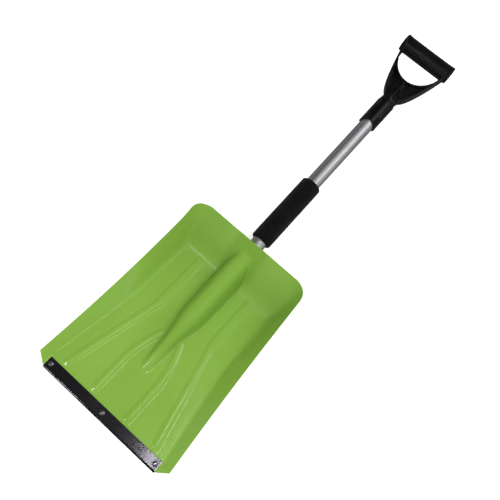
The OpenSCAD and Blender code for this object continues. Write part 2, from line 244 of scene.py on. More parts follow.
class Shader:
    """A node material around one Principled BSDF, with short calls for its details."""

    def __init__(self, name, colour, rough, metallic=0.0):
        self.material = bpy.data.materials.new(name)
        self.material.use_nodes = True
        self.tree = self.material.node_tree
        self.bsdf = self.tree.nodes["Principled BSDF"]
        self.set(**{"Base Color": (*colour, 1), "Roughness": rough, "Metallic": metallic})
        self.coord = self.node("ShaderNodeTexCoord").outputs["Object"]
        self.normal = None

    def set(self, **values):
        """Fixed values of the surface's own sockets."""
        for key, value in values.items():
            self.bsdf.inputs[key].default_value = value

    def node(self, kind, links=(), **values):
        """A new node, with values for its sockets or settings, and its inputs linked."""
        made = self.tree.nodes.new(kind)
        for key, value in values.items():
            if key in made.inputs:
                made.inputs[key].default_value = value
            else:
                setattr(made, key, value)
        for socket, source in links:
            self.tree.links.new(source, made.inputs[socket])
        return made

    def plug(self, socket, source):
        self.tree.links.new(source, self.bsdf.inputs[socket])

    def space(self, stretch=(1, 1, 1), turn=0.0):
        """Coordinates in metres, turned about X and then stretched."""
        turned = self.node("ShaderNodeMapping", [("Vector", self.coord)],
                           Rotation=(turn, 0, 0))
        return self.node("ShaderNodeMapping", [("Vector", turned.outputs[0])],
                         Scale=stretch).outputs[0]

    def noise(self, scale, detail, space=None):
        return self.node("ShaderNodeTexNoise", [("Vector", space or self.coord)],
                         Scale=scale, Detail=detail, Roughness=0.5).outputs["Fac"]

    def cells(self, scale):
        return self.node("ShaderNodeTexVoronoi", [("Vector", self.coord)],
                         Scale=scale).outputs["Distance"]

    def remap(self, value, low, high, to_low, to_high):
        """Takes low..high to to_low..to_high, and stops at both ends."""
        made = self.node("ShaderNodeMapRange", [("Value", value)], clamp=True)
        for socket, number in zip(("From Min", "From Max", "To Min", "To Max"),
                                  (low, high, to_low, to_high)):
            made.inputs[socket].default_value = number
        return made.outputs["Result"]

    def math(self, operation, a, b):
        """A sum on two values, each a number or a node's output."""
        made = self.node("ShaderNodeMath", operation=operation)
        for i, value in enumerate((a, b)):
            if isinstance(value, (int, float)):
                made.inputs[i].default_value = value
            else:
                self.tree.links.new(value, made.inputs[i])
        return made.outputs[0]

    def blend(self, share, first, second):
        """Colour between first and second, each a colour or a node's output."""
        made = self.node("ShaderNodeMix", data_type="RGBA")
        self.tree.links.new(share, made.inputs[0])
        for i, value in ((6, first), (7, second)):
            if isinstance(value, tuple):
                made.inputs[i].default_value = (*value, 1)
            else:
                self.tree.links.new(value, made.inputs[i])
        return made.outputs[2]

    def bump(self, height, distance):
        """Adds relief; distance is the height in metres of a full step of the texture."""
        links = [("Height", height)] + ([("Normal", self.normal)] if self.normal else [])
        made = self.node("ShaderNodeBump", links, Strength=1.0, Distance=distance)
        self.normal = made.outputs["Normal"]
        self.plug("Normal", self.normal)

    def axis(self, letter):
        return self.node("ShaderNodeSeparateXYZ", [("Vector", self.coord)]).outputs[letter]

    def edges(self, low, high):
        """1 on convex edges and 0 on flats."""
        point = self.node("ShaderNodeNewGeometry").outputs["Pointiness"]
        return self.remap(point, low, high, 0, 1)


def scoop_plastic():
    """Glossy lime polypropylene, with flow marks, faint scuffs and wear near the edge, and
    painted shade on the ridge's crown.
    """
    green, deep, pale = (0.188, 0.346, 0.050), (0.170, 0.316, 0.041), (0.30, 0.45, 0.13)
    # painted shade: a darker green for the ridge's crown, which the overhead light brightens
    painted_crown_shade = (0.156, 0.296, 0.038)
    sh = Shader("scoop_plastic", green, 0.2)
    sh.set(IOR=1.49)
    flow = sh.noise(14, 4, sh.space((1, 0.35, 1)))
    colour = sh.blend(sh.remap(flow, 0.35, 0.65, 0, 1), deep, green)
    scratches = sh.noise(900, 2, sh.space((1, 0.03, 1)))
    front = sh.remap(sh.axis("Y"), 0.02, 0.16, 1, 0)     # the snow wears the front half most
    scuffs = sh.math("MULTIPLY", sh.remap(scratches, 0.68, 0.78, 0, 0.5), front)
    high = sh.remap(sh.axis("Z"), 0.008, 0.016, 0, 1)
    middle = sh.remap(sh.math("ABSOLUTE", sh.axis("X"), 0), 0.024, 0.034, 1, 0)
    crown = sh.math("MULTIPLY", high, middle)            # 1 on the ridge over the socket
    # painted shade: the crown of the ridge is coloured darker against the light it catches from
    # above
    colour = sh.blend(crown, colour, painted_crown_shade)
    sh.plug("Base Color", sh.blend(scuffs, colour, pale))
    shine = sh.remap(sh.axis("Y"), 0.17, 0.22, 0.5, 0.24)  # duller towards the rear wall
    sh.plug("Specular IOR Level", sh.math("MINIMUM", shine, sh.remap(crown, 0, 1, 0.5, 0.12)))
    gloss = sh.remap(sh.noise(45, 5), 0.3, 0.7, 0.09, 0.16)
    rear = sh.remap(sh.axis("Y"), 0.18, 0.26, 0, 0.10)
    worn = sh.math("ADD", rear, sh.math("MULTIPLY", scuffs, 0.3))
    sh.plug("Roughness", sh.math("MINIMUM", sh.math("ADD", gloss, worn), 0.26))
    sh.bump(sh.noise(60, 2), 0.0002)
    sh.bump(sh.noise(1400, 2), 0.000012)
    sh.bump(scratches, 0.00001)
    return sh.material


def strip_metal():
    """Polished sheet steel, with a grain along the strip, smudges, bright edges and painted
    shade along the front fold.
    """
    sh = Shader("strip_metal", (0.34, 0.33, 0.36), 0.2, 1.0)
    grain = sh.noise(1500, 3, sh.space((0.02, 1, 1)))
    smudge = sh.noise(38, 5)
    clean, dull, bare, painted_fold_shade = ((0.36, 0.35, 0.39), (0.26, 0.25, 0.28), (0.8, 0.8, 0.82),
                               (0.05, 0.05, 0.055))
    # painted shade: the front of the fold is coloured near black where it turns down away from
    # the light
    behind_fold = sh.remap(sh.axis("Y"), 0.001, 0.0035, 0, 1)
    colour = sh.blend(sh.remap(smudge, 0.35, 0.7, 0, 1), clean, dull)
    colour = sh.blend(sh.edges(0.52, 0.6), colour, bare)
    sh.plug("Base Color", sh.blend(behind_fold, painted_fold_shade, colour))
    sh.plug("Roughness", sh.math("ADD", sh.remap(grain, 0.3, 0.7, 0.0, 0.01),
                                 sh.remap(smudge, 0.4, 0.7, 0.13, 0.155)))
    sh.bump(grain, 0.000001)
    sh.bump(sh.noise(30, 2), 0.00015)
    return sh.material


def tube_aluminium():
    """Anodised aluminium, drawn along its length, with a few handling marks."""
    turn = -math.asin(SHAFT_DIR.z)
    sh = Shader("tube_aluminium", (0.74, 0.75, 0.77), 0.3, 1.0)
    drawn = sh.noise(2600, 3, sh.space((1, 0.012, 1), turn))
    cloud = sh.noise(60, 4, sh.space((1, 0.3, 1), turn))
    marks = sh.remap(sh.noise(420, 2, sh.space((0.2, 1, 0.2), turn)), 0.7, 0.78, 0, 0.35)
    dull, bright, marked = (0.70, 0.71, 0.73), (0.82, 0.83, 0.84), (0.52, 0.53, 0.55)
    colour = sh.blend(sh.remap(cloud, 0.35, 0.65, 0, 1), dull, bright)
    sh.plug("Base Color", sh.blend(marks, colour, marked))
    sh.plug("Roughness", sh.remap(drawn, 0.3, 0.7, 0.46, 0.56))
    sh.set(Anisotropic=0.5)
    sh.bump(drawn, 0.000008)
    sh.bump(marks, 0.00002)
    return sh.material


def foam_rubber():
    """Closed-cell foam: near black, matt, with a fine open skin and faint dust."""
    sh = Shader("foam_rubber", (0.006, 0.006, 0.006), 0.85)
    cells = sh.cells(1500)
    cloud = sh.noise(90, 5)
    black, dusty = (0.0016, 0.0016, 0.0018), (0.0036, 0.0036, 0.0036)
    sh.plug("Base Color", sh.blend(sh.remap(cloud, 0.35, 0.7, 0, 1), black, dusty))
    sh.plug("Roughness", sh.remap(cloud, 0.3, 0.7, 0.78, 0.95))
    sh.set(**{"Sheen Weight": 0.03, "Sheen Roughness": 0.6, "Specular IOR Level": 0.1})
    sh.bump(cells, 0.00018)
    sh.bump(sh.noise(420, 3), 0.00012)
    return sh.material


def grip_plastic():
    """Black moulded plastic with a fine spark-eroded texture and rubbed edges."""
    sh = Shader("grip_plastic", (0.006, 0.006, 0.0065), 0.42)
    cloud = sh.noise(70, 4)
    black, dark = (0.0015, 0.0015, 0.0018), (0.0032, 0.0032, 0.0035)
    rubbed = (0.02, 0.02, 0.021)
    colour = sh.blend(sh.remap(cloud, 0.35, 0.65, 0, 1), black, dark)
    sh.plug("Base Color", sh.blend(sh.edges(0.53, 0.62), colour, rubbed))
    sh.plug("Roughness", sh.remap(cloud, 0.3, 0.7, 0.28, 0.36))
    sh.set(**{"Specular IOR Level": 0.28})
    sh.bump(sh.noise(2200, 2), 0.00004)
    sh.bump(sh.noise(120, 2), 0.00008)
    return sh.material


def metal(name, low, high, rough):
    """A small part's metal: colour from low to high, uneven gloss and a fine bump."""
    sh = Shader(name, high, rough, 1.0)
    grain = sh.noise(500, 4)
    colour = sh.blend(sh.remap(grain, 0.3, 0.7, 0, 1), low, high)
    bright = tuple(min(1.0, c * 1.3) for c in high)
    sh.plug("Base Color", sh.blend(sh.edges(0.52, 0.6), colour, bright))
    sh.plug("Roughness", sh.remap(sh.noise(200, 3), 0.3, 0.7, rough * 0.8, rough * 1.25))
    sh.bump(grain, 0.00002)
    return sh.material


# ---- the scoop -----------------------------------------------------------------------

WALL = 3.0                              # thickness of the moulding
WAIST_Y = 194.0                         # where the ribs bend
EDGE_Y = SCOOP_LOW.y                    # the moulding's front edge, inside the strip's fold
CHAMFER_Y, CHAMFER_IN = 14.0, 1.7       # the cut-off front corners: length, gap to the strip
CORNER_R = 24.0                         # rear corners in plan
CORNER_Y = SCOOP_LEN - CORNER_R
RIM_HALF = (132.5, 117.5, 110.5)        # half widths of the rim at front, waist and rear
RIM_Z = (12.0, 35.5, SCOOP_HIGH.z)      # heights of the rim at front, waist and rear
RIM_BEAD, BEAD_STEPS = 0.3, 5           # how far the rounded rim swells out, in so many steps
SHEET = 0.8                             # thickness of the strip's sheet
FLOOR_Z = STRIP_HIGH.z - SHEET          # the strip's sheet lies on the floor
STRIP_HALF, STRIP_DEPTH = STRIP_HIGH.x, STRIP_HIGH.y
FOOT_GAP = 0.2                          # from the strip's end to the side wall's foot
FOOT_TAPER = (0.15, 0.05)               # how fast the feet close in, before and after the waist
FOOT_FILLET, FILLET_GROWTH = 4.0, 12.0  # the curve at the side wall's foot
REAR_FOOT_Y, REAR_FILLET = 277.0, 32.0  # the foot of the rear wall, and its curve
CORNER_POWER = 2.4                      # how squarely the side and rear walls meet
SOCKET_R, BORE_R = 15.5, TUBE_R + 0.05  # outside and inside of the socket
CREST_COVER = 0.5                       # the ridge stands this much over the socket
RIDGE_HALF, RIDGE_POWER, RIDGE_FILLET = 22.0, 3.2, 8.0  # its section: a blunt bump
NOSE_Y, NOSE_TIP = 92.0, 12.0           # where the ridge starts, and the length of its tip
NOSE_HALF, NOSE_POWER, NOSE_SHOULDER = 15.5, 0.32, 0.55  # how its width grows
NOSE_OVER, NOSE_FILLET = 2.0, 4.0       # how its slope meets the crest
RIB_H, RIB_TOP, RIB_FOOT = 2.0, 1.8, 7.5  # height, and half widths at top and foot
RIB_WIDER = 2.0                         # added to those half widths behind the waist
RIB_FRONT_Y, RIB_END = 20.0, 11.0       # where the ribs start, and the length of their ends
INNER_X, INNER_BEND_Y, INNER_FROM_Y = 33.5, 80.0, 163.0
INNER_CLOSES, INNER_POWER = 19.0, 2.2   # the inner ribs close in on the nose by this curve
OUTER_X, OUTER_SPLAY, OUTER_BEND = 53.0, 0.23, 16.0
WALL_BLEND, RIB_BLEND = 6.0, 2.0        # valleys between the walls, the ridge and the ribs
UNDER_EASE = 3.0                        # rounds the creases of the underside
BUTTON_HOLE_R, RIVET_HOLE_R = 4.2, 2.05
RIVET_TAIL_R, RIVET_TAIL_TOP = 4.3, 2.3  # pockets round the rivets' tails, underneath


def ramp(u, k):
    """0 up to u = 0, then a parabola of length k, then a straight line of slope 1."""
    u = np.maximum(u, 0)
    return np.where(u < k, u * u / (2 * k), u - k / 2)


def fade(v, start, end):
    """0 at start and 1 at end, easing in and out."""
    t = np.clip((v - start) / (end - start), 0, 1)
    return t * t * (3 - 2 * t)


def soft_max(a, b, k):
    """The larger of a and b, with a rounded valley where they cross above 0."""
    reach = np.maximum(np.minimum(k, 2 * np.minimum(a, b)), 1e-6)
    return np.maximum(a, b) + np.maximum(reach - np.abs(a - b), 0) ** 2 / (4 * reach)


def along(y, values):
    """The parabola through values at the front, the waist and the rear."""
    front, waist, rear = values
    return (front * (y - WAIST_Y) * (y - SCOOP_LEN) / (WAIST_Y * SCOOP_LEN)
            + waist * y * (y - SCOOP_LEN) / (WAIST_Y * (WAIST_Y - SCOOP_LEN))
            + rear * y * (y - WAIST_Y) / (SCOOP_LEN * (SCOOP_LEN - WAIST_Y)))


def foot_half(y):
    """Half width of the floor up to the foot of the side wall."""
    behind = STRIP_DEPTH + 1
    return (STRIP_HALF + FOOT_GAP - FOOT_TAPER[0] * np.clip(y - behind, 0, WAIST_Y - behind)
            - FOOT_TAPER[1] * np.maximum(y - WAIST_Y, 0))


def wall_h(x, y):
    """Height of the side and rear walls above the floor, rounded where they meet."""
    fillet = FOOT_FILLET + FILLET_GROWTH * fade(y, WAIST_Y - 40, REAR_FOOT_Y)
    run = along(y, RIM_HALF) - foot_half(y) - fillet / 2
    side = (along(y, RIM_Z) - FLOOR_Z) * ramp(np.abs(x) - foot_half(y), fillet) / run
    rear = (RIM_Z[2] - FLOOR_Z) * ramp(y - REAR_FOOT_Y, REAR_FILLET) / (
        SCOOP_LEN - REAR_FOOT_Y - REAR_FILLET / 2)
    return (side ** CORNER_POWER + rear ** CORNER_POWER) ** (1 / CORNER_POWER)


def crest_h(y):
    """Height of the ridge over the socket above the floor."""
    axis_z = RIM_POINT.z - (SCOOP_LEN - y) * SHAFT_DIR.z / SHAFT_DIR.y
    return axis_z + SOCKET_R + CREST_COVER - FLOOR_Z


def ridge_h(x, y):
    """The ridge over the socket, which falls and narrows to a blunt nose."""
    end_y = TUBE_FOOT.y
    nose = np.maximum((y - NOSE_Y) / (end_y - NOSE_Y), 0.001)
    painted_crown_shade, rise = crest_h(y), (crest_h(end_y) + NOSE_OVER) * nose
    top = painted_crown_shade - ramp(painted_crown_shade - rise + NOSE_FILLET / 2, NOSE_FILLET)
    growth = np.maximum(painted_crown_shade / crest_h(end_y), 0.01) ** (1 / RIDGE_POWER)
    front = (NOSE_HALF * nose ** NOSE_POWER
             + (RIDGE_HALF - NOSE_HALF) * fade(nose, NOSE_SHOULDER, 1))
    width = np.where(y > end_y, RIDGE_HALF * growth, front)
    bare = top * (1 - (np.abs(x) / width) ** RIDGE_POWER)
    tip = np.clip((y - NOSE_Y) / NOSE_TIP, 0, 1)
    return ramp(bare + RIDGE_FILLET / 2, RIDGE_FILLET) * tip


def ribs_h(x, y):
    """Two pairs of ribs: the inner pair leaves the nose, the outer pair the rear wall."""
    bent = np.clip((y - INNER_BEND_Y) / (INNER_FROM_Y - INNER_BEND_Y), 0, 1)
    inner = INNER_X - INNER_CLOSES * bent ** INNER_POWER
    outer = OUTER_X + OUTER_SPLAY * ramp(WAIST_Y + 6 - y, OUTER_BEND)
    wider = RIB_WIDER * fade(y, WAIST_Y - 14, WAIST_Y + 2)
    heights = []
    for centre, rear_end in ((outer, (REAR_FOOT_Y + 18, REAR_FOOT_Y + 4)),
                             (inner, (INNER_FROM_Y + 10, INNER_FROM_Y - 6))):
        across = fade(np.abs(np.abs(x) - centre), RIB_FOOT + wider, RIB_TOP + wider)
        heights.append(RIB_H * across * fade(y, *rear_end))
    return np.maximum(*heights) * fade(y, RIB_FRONT_Y, RIB_FRONT_Y + RIB_END)


def top_z(x, y):
    """Height of the scoop's upper surface."""
    bulk = soft_max(wall_h(x, y), ridge_h(x, y), WALL_BLEND)
    return FLOOR_Z + soft_max(bulk, ribs_h(x, y), RIB_BLEND)


def under_z(x, y):
    """Height of the underside: a wall's thickness below the top, and flat under the floor."""
    slope_x = top_z(x + 0.5, y) - top_z(x - 0.5, y)
    slope_y = top_z(x, y + 0.5) - top_z(x, y - 0.5)
    square = top_z(x, y) - WALL * np.sqrt(1 + slope_x ** 2 + slope_y ** 2)
    above = square - (FLOOR_Z - WALL)
    eased = ramp(above, UNDER_EASE) + UNDER_EASE / 2 * fade(above, UNDER_EASE, 4 * UNDER_EASE)
    return FLOOR_Z - WALL + eased


def plan_half(y):
    """Half width of the outline: cut-off front corners, curved sides, round rear corners."""
    start = STRIP_HALF + CHAMFER_IN
    chamfer = start + (along(CHAMFER_Y, RIM_HALF) - start) * (y - EDGE_Y) / (CHAMFER_Y - EDGE_Y)
    into = np.clip(y - CORNER_Y, 0, CORNER_R)
    rounded = along(y, RIM_HALF) - CORNER_R + np.sqrt(CORNER_R ** 2 - into ** 2)
    return np.where(y < CHAMFER_Y, chamfer, rounded)


def scoop_grid():
    """Points of the scoop's surface in plan: rows from front to rear, columns across."""
    rows = np.concatenate([
        np.linspace(EDGE_Y, CHAMFER_Y, 8)[:-1], np.linspace(CHAMFER_Y, CORNER_Y, 190),
        CORNER_Y + CORNER_R * np.sin(np.linspace(0, math.pi / 2, 24))[1:]])
    floor = np.linspace(-1, 1, 151)
    wall = np.linspace(0, 1, 23)[1:]
    foot, edge = foot_half(rows)[:, None], plan_half(rows)[:, None]
    right = foot + (edge - foot) * wall
    return np.hstack([-right[:, ::-1], foot * floor, right]), rows[:, None]


def scoop_shell():
    """The moulding's skin: top, underside and a rounded rim between them."""
    x, y = scoop_grid()
    y = np.broadcast_to(y, x.shape)
    rows, cols = x.shape
    top = np.stack([x, y, top_z(x, y)], -1)
    under = np.stack([x, y, under_z(x, y)], -1)
    count = rows * cols
    verts = list(top.reshape(-1, 3)) + list(under.reshape(-1, 3))
    faces = []
    for r in range(rows - 1):
        for c in range(cols - 1):
            a = r * cols + c
            faces.append((a, a + 1, a + cols + 1, a + cols))
            faces.append((count + a, count + a + cols, count + a + cols + 1, count + a + 1))
    rim = ([r * cols for r in range(rows)] + [(rows - 1) * cols + c for c in range(1, cols)]
           + [r * cols + cols - 1 for r in range(rows - 2, -1, -1)]
           + [c for c in range(cols - 2, 0, -1)])
    verts += rim_bead(np.array(verts), rim, count)
    for i in range(len(rim)):
        j = (i + 1) % len(rim)
        here = [rim[i]] + [2 * count + i * BEAD_STEPS + k for k in range(BEAD_STEPS)]
        there = [rim[j]] + [2 * count + j * BEAD_STEPS + k for k in range(BEAD_STEPS)]
        here.append(count + rim[i])
        there.append(count + rim[j])
        for k in range(BEAD_STEPS + 1):
            faces.append((here[k], here[k + 1], there[k + 1], there[k]))
    return add_object("scoop", verts, faces)


def rim_bead(points, rim, count):
    """Points between the top and the underside that swell out into a rounded edge."""
    top, under = points[rim], points[[count + i for i in rim]]
    tangent = np.roll(top, -1, 0) - np.roll(top, 1, 0)
    out = np.stack([-tangent[:, 1], tangent[:, 0], np.zeros(len(rim))], -1)
    out /= np.maximum(np.linalg.norm(out, axis=1, keepdims=True), 1e-9)
    swell = RIM_BEAD * fade(top[:, 1:2], EDGE_Y, CHAMFER_Y + 20)
    bead = []
    for i in range(len(rim)):
        for k in range(1, BEAD_STEPS + 1):
            t = k / (BEAD_STEPS + 1)
            around = math.sin(math.pi * t) ** 0.6
            bead.append(top[i] * (1 - t) + under[i] * t + out[i] * swell[i] * around)
    return bead


def build_scoop(material):
    """The moulding with its socket, bore, button hole and rivet holes."""
    scoop = scoop_shell()
    socket = rod("socket", SOCKET_R, -PLUG_LEN - WALL, -0.5, SHAFT, ROUND_STEPS)
    combine(scoop, socket, "UNION")
    cut(scoop, rod("bore", BORE_R, -PLUG_LEN, 30, SHAFT, ROUND_STEPS))
    cut(scoop, rod("button_hole", BUTTON_HOLE_R, 0, 40, under_shaft("snap_button")))
    for x, y in RIVETS:
        place = Matrix.Translation((x, y, 0))
        cut(scoop, rod("rivet_hole", RIVET_HOLE_R, 2, 10, place))
        cut(scoop, rod("rivet_pocket", RIVET_TAIL_R, -1, RIVET_TAIL_TOP, place))
    smooth(scoop, 40)
    finish_piece(scoop, "scoop", material, "scoop_blade")


def under_shaft(node):
    """A place on the shaft's axis level with a node, with +Z towards the underside."""
    low, high = corners_mm(node)
    level = Matrix.Translation((0, 0, station((low + high) / 2)))
    return SHAFT @ level @ Matrix.Rotation(-math.pi / 2, 4, "X")


def rivet_places():
    """Plan positions of the three rivets, from the box of their heads."""
    low, high = corners_mm("strip_rivets")
    head = (high.y - low.y) / 2
    return [(x, low.y + head) for x in (low.x + head, 0.0, high.x - head)]


RIVETS = rivet_places()


# ---- the wear strip ------------------------------------------------------------------

STRIP_LIP = 5.5                         # depth of the flange folded under the scoop
STRIP_BOW, STRIP_RIPPLE = 0.42, 0.05    # the sheet's lift between rivets, and its unevenness
RIVET_REACH = 26.0                      # how far a rivet draws the sheet down


def build_strip(material):
    """The folded sheet, slightly wavy, with softened edges and a dimple at each rivet."""
    fold = STRIP_HIGH.z / 2
    steps = 14
    turns = [math.pi / 2 + math.pi * i / steps for i in range(steps + 1)]
    depths = np.linspace(STRIP_DEPTH, fold, 18)
    outer = [(d, 2 * fold) for d in depths]
    outer += [(fold + fold * math.cos(a), fold + fold * math.sin(a)) for a in turns[1:]]
    outer += [(STRIP_LIP, 0.0)]
    inner = [(STRIP_LIP, SHEET)]
    inner += [(fold + (fold - SHEET) * math.cos(a), fold + (fold - SHEET) * math.sin(a))
              for a in turns[::-1]]
    inner += [(d, 2 * fold - SHEET) for d in depths[::-1][1:]]
    profile = outer + inner
    stations = np.linspace(-STRIP_HALF, STRIP_HALF, 231)
    verts, n = [], len(profile)
    for x in stations:
        for y, z in profile:
            verts.append((x, y, z + (strip_wave(x, y) if z > fold else 0)))
    faces = [(i * n + k, i * n + (k + 1) % n, (i + 1) * n + (k + 1) % n, (i + 1) * n + k)
             for i in range(len(stations) - 1) for k in range(n)]
    last = (len(stations) - 1) * n
    for k in range(len(outer) - 1):
        for start in (0, last):
            faces.append((start + k, start + k + 1, start + n - 2 - k, start + n - 1 - k))
    strip = add_object("wear_strip_sheet", verts, faces)
    for x, y in RIVETS:
        cut(strip, rod("strip_hole", RIVET_HOLE_R, 2, 10, Matrix.Translation((x, y, 0))))
    bevel(strip, 0.25)
    smooth(strip, 50)
    finish_piece(strip, "scoop", material, "wear_strip")


def strip_wave(x, y):
    """The sheet bows off the floor between rivets, and is drawn down at each rivet."""
    lift = STRIP_BOW + STRIP_RIPPLE * math.sin(x / 17.0) * math.cos(y / 9.0 + 0.5)
    for rivet_x, rivet_y in RIVETS:
        away = math.hypot(x - rivet_x, y - rivet_y)
        lift *= 1 - math.exp(-(away / RIVET_REACH) ** 2)
    return lift


# ---- the foam grip -------------------------------------------------------------------

def build_foam(material):
    """The foam sleeve: rounded ends, and a skin that is never quite even."""
    radius, low, high = shaft_piece("foam_grip")
    start, length = station(low), (high - low).dot(SHAFT_DIR)
    round_r, inside = 4.0, TUBE_R + 0.05
    lead_wide, lead_long = 0.9, 0.8     # the eased edges of the hole
    arc = [math.pi / 2 * i / 8 for i in range(9)]
    profile = [(inside, lead_long), (inside + lead_wide, 0.0)]
    profile += [(radius - round_r + round_r * math.sin(a), round_r - round_r * math.cos(a))
                for a in arc]
    profile += [(radius, z) for z in np.linspace(round_r, length - round_r, 90)[1:-1]]
    profile += [(radius - round_r + round_r * math.cos(a),
                 length - round_r + round_r * math.sin(a)) for a in arc]
    profile += [(inside + lead_wide, length), (inside, length - lead_long)]
    foam = lathe("foam_sleeve", profile, 128, SHAFT @ Matrix.Translation((0, 0, start)))
    texture = bpy.data.textures.new("foam_unevenness", "CLOUDS")
    texture.noise_scale = 0.012
    texture.noise_depth = 3
    apply_modifier(foam, "DISPLACE", texture=texture, strength=0.0005, mid_level=0.75)
    smooth(foam, 60)
    finish_piece(foam, "shaft", material, "foam_grip")


# ---- the D-grip, from its collar (z = 0) to the crossbar's back -----------------------

GRIP_LEN = 190.0
COLLAR_S = 296.0                        # station of the collar's tips
MOUTH_R, COLLAR_R, NECK_R = 14.4, 13.6, 14.4
NECK_FROM, YOKE_FROM = 52.0, 72.0
YOKE_T, WEB_T, YOKE_RIM = 18.0, 6.0, 4.0  # thickness at the rims and in the panels, rim width
YOKE_POWER = 0.62                       # the curve of its flare
BAR_HALF = corners_mm("d_grip")[1].x
BAR_R, BAR_BEAD, BAR_WALL = 15.5, 0.5, 4.0
BAR_AT = GRIP_LEN - BAR_R - BAR_BEAD
OPENING_HALF, OPENING_DEEP = 41.0, 50.0
OPENING_TOP = BAR_AT - BAR_R + 1
PANEL_FROM, PANEL_TO = YOKE_FROM + 6, OPENING_TOP - 6
RIB_HALF = 1.7                          # half thickness of the yoke's middle rib
RIB_BEAD_R, RIB_BEAD_OUT, RIB_BEAD_LEAN = 2.3, 12.6, 4.5  # its rounded edge; lean in degrees
FIN_HALF = 1.6
RIDGE_AT = 43.0                         # degrees between the face's middle and its two ridges
RIDGE_THIN, RIDGE_PROUD = 0.9, 0.7
SCALLOP_R, SCALLOP_DEPTH = 22.6, 5.6    # the arched mouth
SCREW_HOLE_R = 1.95


def yoke_half(z, inset=0.0):
    """Half width of the yoke, which flares from the neck to the crossbar."""
    t = np.clip((z - YOKE_FROM) / (BAR_AT - YOKE_FROM), 0, 1)
    return NECK_R + (BAR_HALF - BAR_BEAD - NECK_R) * t ** YOKE_POWER - inset


def opening_point(turn, grow=0.0):
    """A point of the hand opening's half ellipse, grown outwards."""
    return ((OPENING_HALF + grow) * math.cos(turn),
            OPENING_TOP + (OPENING_DEEP + grow) * math.sin(turn))


def yoke_plate():
    heights = np.linspace(YOKE_FROM - 4, BAR_AT, 40)
    right = [(float(yoke_half(z)), float(z)) for z in heights]
    left = [(-x, z) for x, z in right[::-1]]
    return slab("yoke", right + left, YOKE_T)


def opening_cutter():
    turns = [math.pi + math.pi * i / 48 for i in range(49)]
    return slab("opening", [opening_point(a) for a in turns], 60)


def web_cutters():
    """The sunk panels on both faces: between the rims, on each side of the middle rib."""
    made = []
    for face in (-1, 1):
        for side in (-1, 1):
            points = [(side * x, z) for x, z in panel_outline()]
            made.append(slab("panel", points, YOKE_T, face * (WEB_T + YOKE_T) / 2))
    return made


def panel_outline():
    """The right-hand panel: up the outer rim, then down along the opening's rim."""
    outer = [(float(yoke_half(z, YOKE_RIM)), float(z))
             for z in np.linspace(PANEL_FROM, PANEL_TO, 24)]
    inner = []
    for i in range(33):
        x, z = opening_point(-math.pi / 2 * i / 32, YOKE_RIM)
        if z < PANEL_TO and RIB_HALF < x < yoke_half(z, YOKE_RIM) - 0.3:
            inner.append((x, z))
    foot = opening_point(-math.pi / 2, YOKE_RIM)[1]
    return [(RIB_HALF, PANEL_FROM)] + outer + inner + [(RIB_HALF, foot)]


def collar_profile():
    """Mouth bead, taper, neck ring, and a cone that sinks into the yoke."""
    return [(0, 0), (MOUTH_R + 0.5, 0), (MOUTH_R + 0.5, 4), (MOUTH_R, 6),
            (COLLAR_R, NECK_FROM - 1), (NECK_R, NECK_FROM + 1), (NECK_R + 0.5, NECK_FROM + 3),
            (NECK_R, NECK_FROM + 6), (NECK_R - 0.5, YOKE_FROM - 8), (NECK_R - 3.5, YOKE_FROM),
            (YOKE_T / 2, YOKE_FROM + 8), (WEB_T / 2, YOKE_FROM + 22), (0, YOKE_FROM + 23)]


def bar_profile():
    """A slightly waisted crossbar with a bead at each end."""
    bead = BAR_R + BAR_BEAD
    bar = [(0, -BAR_HALF + BAR_BEAD)]
    bar += [(bead, -BAR_HALF), (bead, -BAR_HALF + 3.5), (BAR_R, -BAR_HALF + 4)]
    bar += [(BAR_R - 0.4 * math.cos(z / BAR_HALF * math.pi / 2), z)
            for z in np.linspace(-BAR_HALF + 6, BAR_HALF - 6, 21)]
    bar += [(BAR_R, BAR_HALF - 4), (bead, BAR_HALF - 3.5), (bead, BAR_HALF)]
    return bar + [(0, BAR_HALF - BAR_BEAD)]


def collar_details():
    """The side fins, the two ridges on the front face, and the rib's bead on both faces."""
    made = []
    for side in (-1, 1):
        x = side * (MOUTH_R - 0.6)
        made.append(block("fin", (x - FIN_HALF, -FIN_HALF, 0),
                          (x + FIN_HALF, FIN_HALF, NECK_FROM + 4)))
        around = Matrix.Rotation(side * math.radians(RIDGE_AT), 4, "Z")
        made.append(block("ridge", (-RIDGE_THIN, -NECK_R - RIDGE_PROUD, 20),
                          (RIDGE_THIN, 0, YOKE_FROM - 6), around))
    bead_len = OPENING_TOP - OPENING_DEEP - NECK_FROM - 10
    for face in (-1, 1):
        lean = Matrix.Rotation(face * math.radians(-RIB_BEAD_LEAN), 4, "X")
        foot = Matrix.Translation((0, face * RIB_BEAD_OUT, NECK_FROM + 8))
        made.append(rod("rib_bead", RIB_BEAD_R, 0, bead_len, foot @ lean.inverted()))
    return made


def build_grip(material):
    """One moulding: plate, collar and bar are fused by a remesh, then bored."""
    place = SHAFT @ Matrix.Translation((0, 0, COLLAR_S))
    across = Matrix.Translation((0, 0, BAR_AT)) @ Matrix.Rotation(math.pi / 2, 4, "Y")
    body = yoke_plate()
    cut(body, opening_cutter())
    for cutter in web_cutters():
        cut(body, cutter)
    join(body, [spun("collar", collar_profile()), spun("bar", bar_profile(), across),
                *collar_details()])
    apply_modifier(body, "REMESH", mode="VOXEL", voxel_size=0.7 * MM, use_smooth_shade=True)
    apply_modifier(body, "SMOOTH", factor=0.5, iterations=4)
    body.data.transform(Matrix.Scale(MM, 4) @ place @ Matrix.Scale(1 / MM, 4))
    cut_grip(body, place, across)
    smooth(body, 50)
    body.name = "d_grip_moulding"
    finish_piece(body, "shaft", material, "d_grip")


